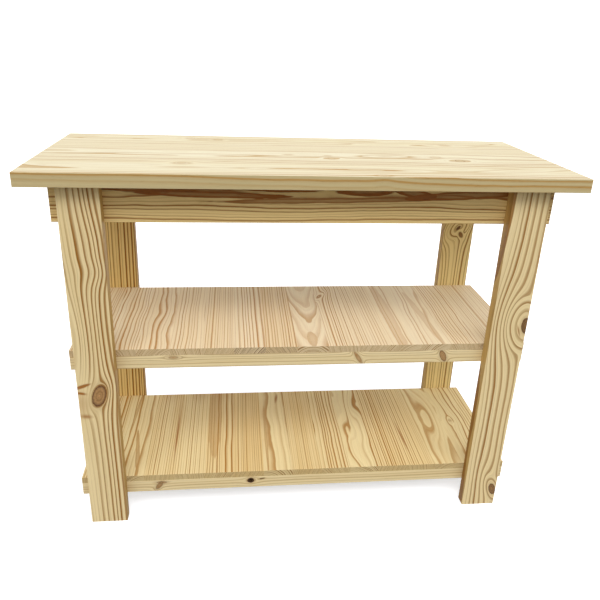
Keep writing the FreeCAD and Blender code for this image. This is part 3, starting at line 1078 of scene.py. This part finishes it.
# On staves 3 to 8 the broad spots near along 220, 60 wide, are painted shadow: the shade the mid shelf casts
# on the back of this shelf.
BOTTOM_STAVE_GRAINS = {
    "bottom_stave_01": dict(
        spacing=6 * MM, waver=0.3, contrast=0.95,
        stains=(Spot(165, -20, 40, 7, strength=0.7),),
    ),
    "bottom_stave_02": dict(
        spacing=9 * MM, pith_across=0.05, pith_behind=0.07, waver=0.4, contrast=0.8, start=0.5,
        tan=-0.2,
        flames=(
            Spot(-90, 10, 110, 6, tilt=-0.12, strength=0.7),
            Spot(90, -18, 130, 4, tilt=0.05, strength=0.7),
        ),
    ),
    "bottom_stave_03": dict(
        spacing=5.8 * MM, pith_across=0.1, waver=0.25, contrast=0.95, taper=0.01,
        stains=(
            Spot(-20, 33, 130, 3, strength=0.9),
            # painted shadow at the shelf's back
            Spot(215, 0, 110, 60, strength=0.5),
        ),
    ),
    "bottom_stave_04": dict(
        spacing=5.8 * MM, pith_across=-0.12, waver=0.2, contrast=0.8, tan=-0.1,
        # painted shadow at the shelf's back
        stains=(Spot(220, 10, 120, 60, strength=0.55),),
    ),
    "bottom_stave_05": dict(
        spacing=8 * MM, pith_across=0.08, pith_behind=0.05, waver=0.35, contrast=0.95,
        flames=(Spot(70, -16, 230, 20, strength=0.5),),
        # painted shadow at the shelf's back
        stains=(Spot(220, 0, 120, 60, strength=0.5),),
    ),
    "bottom_stave_06": dict(
        spacing=5.2 * MM, pith_across=0.12, waver=0.12, contrast=0.95, tan=0.25,
        # painted shadow at the shelf's back
        stains=(Spot(225, 0, 110, 60, strength=0.45),),
    ),
    "bottom_stave_07": dict(
        spacing=18 * MM, pith_across=-34 * MM, pith_behind=0.05, waver=0.3, contrast=0.8,
        start=0.4, mottle=0.2, tan=-0.15,
        stains=(Spot(150, 16, 34, 6, tilt=0.15, strength=0.8),),
        flames=(Spot(-60, -26, 190, 4, strength=0.7),),
    ),
    "bottom_stave_08": dict(
        spacing=5 * MM, pith_across=0.12, waver=0.1, contrast=0.65, tan=0.15,
        # painted shadow at the shelf's back
        stains=(Spot(230, 0, 110, 60, strength=0.45),),
    ),
    "bottom_stave_09": dict(spacing=7 * MM, pith_across=-0.1, waver=0.5, contrast=1.1, late=0.42),
    "bottom_stave_10": dict(
        spacing=11 * MM, pith_across=-0.03, pith_behind=0.06, waver=0.6, contrast=0.9,
        start=0.3, tan=-0.25,
        bulges=(
            Spot(90, 14, 80, 20, tilt=0.1, strength=1.3),
            Spot(-80, -16, 110, 20, tilt=-0.1),
        ),
    ),
    "bottom_stave_11": dict(spacing=6 * MM, pith_across=0.14, waver=0.2, contrast=1.2, late=0.45),
    "bottom_stave_12": dict(
        spacing=5.8 * MM, pith_across=-0.14, waver=0.2, contrast=0.9,
        stains=(Spot(-60, -22, 90, 4, tilt=-0.05, strength=0.8),),
    ),
    "bottom_stave_13": dict(
        spacing=9 * MM, pith_across=0.03, pith_behind=0.08, waver=0.5, contrast=0.6, start=0.6,
        mottle=0.3, tan=-0.1,
        bulges=(Spot(30, 6, 110, 22, strength=1.6),),
    ),
    "bottom_stave_14": dict(
        spacing=10 * MM, pith_across=-0.04, pith_behind=0.06, waver=0.7, contrast=0.85, tan=-0.25,
        wave_rate=4.0,
        knots=(Knot(6, -8, 5, 4, strength=0.4, dark=0.2, swirl_long=24, swirl_wide=10),),
    ),
    "bottom_stave_15": dict(spacing=8 * MM, waver=0.3, contrast=0.8),
}

CHOSEN_GRAINS = {
    **LEG_GRAINS,
    **FRAME_GRAINS,
    **TOP_GRAINS,
    **MID_STAVE_GRAINS,
    **BOTTOM_STAVE_GRAINS,
}


def grain_of(node, kind):
    return replace(usual_grain(node, kind), **CHOSEN_GRAINS.get(node, {}))


# ---------------- the studio

FLOOR_HALF = 30.0
FLOOR_GREY = "F3F5F9"
FLOOR_PALE = "F7F8FB"
FLOOR_GLOW = 0.55
FLOOR_MOTTLE_RATE = 3.0  # per metre


def build_floor():
    """A wide pale floor with a faint mottle. It glows a little, so that only a soft shadow is left."""
    mesh = bmesh.new()
    corners = ((-1, -1), (1, -1), (1, 1), (-1, 1))
    mesh.faces.new([mesh.verts.new((x * FLOOR_HALF, y * FLOOR_HALF, cad_low.z)) for x, y in corners])
    data = bpy.data.meshes.new("floor_mesh")
    mesh.to_mesh(data)
    mesh.free()
    floor = bpy.data.objects.new("floor", data)
    bpy.context.scene.collection.objects.link(floor)
    material = bpy.data.materials.new("floor_paint")
    material.use_nodes = True
    tree = material.node_tree
    place = Signal(tree, tree.nodes.new("ShaderNodeTexCoord").outputs["Object"])
    mottle = noise(tree, scaled(tree, place, FLOOR_MOTTLE_RATE), 3.0)
    colour = mix(tree, mottle.ramp(-1, 1), hex_colour(FLOOR_GREY), hex_colour(FLOOR_PALE))
    surface = tree.nodes["Principled BSDF"]
    feed(tree, surface.inputs["Base Color"], colour)
    surface.inputs["Roughness"].default_value = 0.9
    surface.inputs["Specular IOR Level"].default_value = 0.1
    surface.inputs["Emission Color"].default_value = hex_colour("FFFFFF")
    surface.inputs["Emission Strength"].default_value = FLOOR_GLOW
    data.materials.append(material)
    floor.visible_diffuse = False


@dataclass
class Sun:
    """A far soft lamp. Its azimuth turns from the front towards the right. Angles are in degrees."""
    name: str
    azimuth: float
    elevation: float
    brightness: float                # on a white surface that faces it
    spread: float


SUNS = (
    Sun("key_0", -36, 50, 0.19, 24),  # three in a row, for one long lamp above the front
    Sun("key_1", 2, 50, 0.19, 24),
    Sun("key_2", 40, 50, 0.19, 24),
    Sun("front", -4, 20, 0.1, 50),
    Sun("left", -72, 20, 0.17, 60),
    Sun("right", 80, 32, 0.1, 60),
    Sun("back", 172, 10, 0.18, 60),
)
SKY_LOW = "FFF0D0"
SKY_HIGH = "FFFFFF"
SKY_RISE = (-0.5, 0.7)  # where it turns from low to high, from -1 down to 1 up
SKY_LOW_STRENGTH = 0.05
SKY_HIGH_STRENGTH = 0.62  # added to the low one
BACKDROP_STRENGTH = 1.0  # added where the camera looks straight at the sky


def hang_sun(sun):
    lamp = bpy.data.lights.new(sun.name, "SUN")
    lamp.energy = sun.brightness * math.pi
    lamp.angle = math.radians(sun.spread)
    holder = bpy.data.objects.new(sun.name, lamp)
    bpy.context.scene.collection.objects.link(holder)
    turn = math.radians(sun.azimuth)
    rise = math.radians(sun.elevation)
    source = Vector((math.sin(turn) * math.cos(rise), -math.cos(turn) * math.cos(rise), math.sin(rise)))
    holder.rotation_euler = source.to_track_quat("Z", "Y").to_euler()


def light_studio():
    """Soft lamps all round, the strongest above the front, under a sky that is warm and dim low down."""
    for sun in SUNS:
        hang_sun(sun)
    world = bpy.data.worlds.new("studio")
    world.use_nodes = True
    tree = world.node_tree
    seen = Signal(tree, tree.nodes.new("ShaderNodeLightPath").outputs["Is Camera Ray"])
    split = tree.nodes.new("ShaderNodeSeparateXYZ")
    tree.links.new(tree.nodes.new("ShaderNodeTexCoord").outputs["Generated"], split.inputs[0])
    upward = Signal(tree, split.outputs["Z"]).ramp(*SKY_RISE)
    whiteness = (upward + seen).math("MINIMUM", 1.0)
    background = tree.nodes["Background"]
    feed(tree, background.inputs["Color"], mix(tree, whiteness, hex_colour(SKY_LOW), hex_colour(SKY_HIGH)))
    feed(tree, background.inputs["Strength"],
         upward * SKY_HIGH_STRENGTH + SKY_LOW_STRENGTH + seen * BACKDROP_STRENGTH)
    bpy.context.scene.world = world


EYE = Vector((-0.1736, -1.4836, 1.1902))
YAW = -6.735  # degrees, as are the next two
PITCH = -21.706
ROLL = -2.22
SENSOR_WIDTH = 36.0  # millimetres, as is the focal length
FOCAL_LENGTH = 36.61
LENS_SHIFT = -0.0415


def place_camera():
    """The eye stands a little left of the bench's middle, above its top, and looks down at it."""
    lens = bpy.data.cameras.new("camera")
    lens.sensor_width = SENSOR_WIDTH
    lens.lens = FOCAL_LENGTH
    lens.shift_y = LENS_SHIFT
    holder = bpy.data.objects.new("camera", lens)
    bpy.context.scene.collection.objects.link(holder)
    holder.matrix_world = (
        Matrix.Translation(EYE)
        @ Matrix.Rotation(math.radians(YAW), 4, "Z")
        @ Matrix.Rotation(math.radians(PITCH), 4, "X")
        @ Matrix.Rotation(math.radians(ROLL), 4, "Y")
        @ Matrix.Rotation(math.pi / 2, 4, "X")
    )
    bpy.context.scene.camera = holder


def finish_screws():
    """Gives every screw of the frame its plated steel."""
    steel = steel_material()
    for node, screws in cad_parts.items():
        if node.endswith("_screws"):
            for slot in screws.material_slots:
                slot.material = steel


SAWN_PINE = pine_group()
for board_node in sorted(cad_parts):
    if not board_node.endswith("_screws"):
        build_board(board_node)
finish_screws()
build_floor()
light_studio()
place_camera()
bpy.context.scene.view_settings.view_transform = "Standard"

bpy.context.view_layer.update()
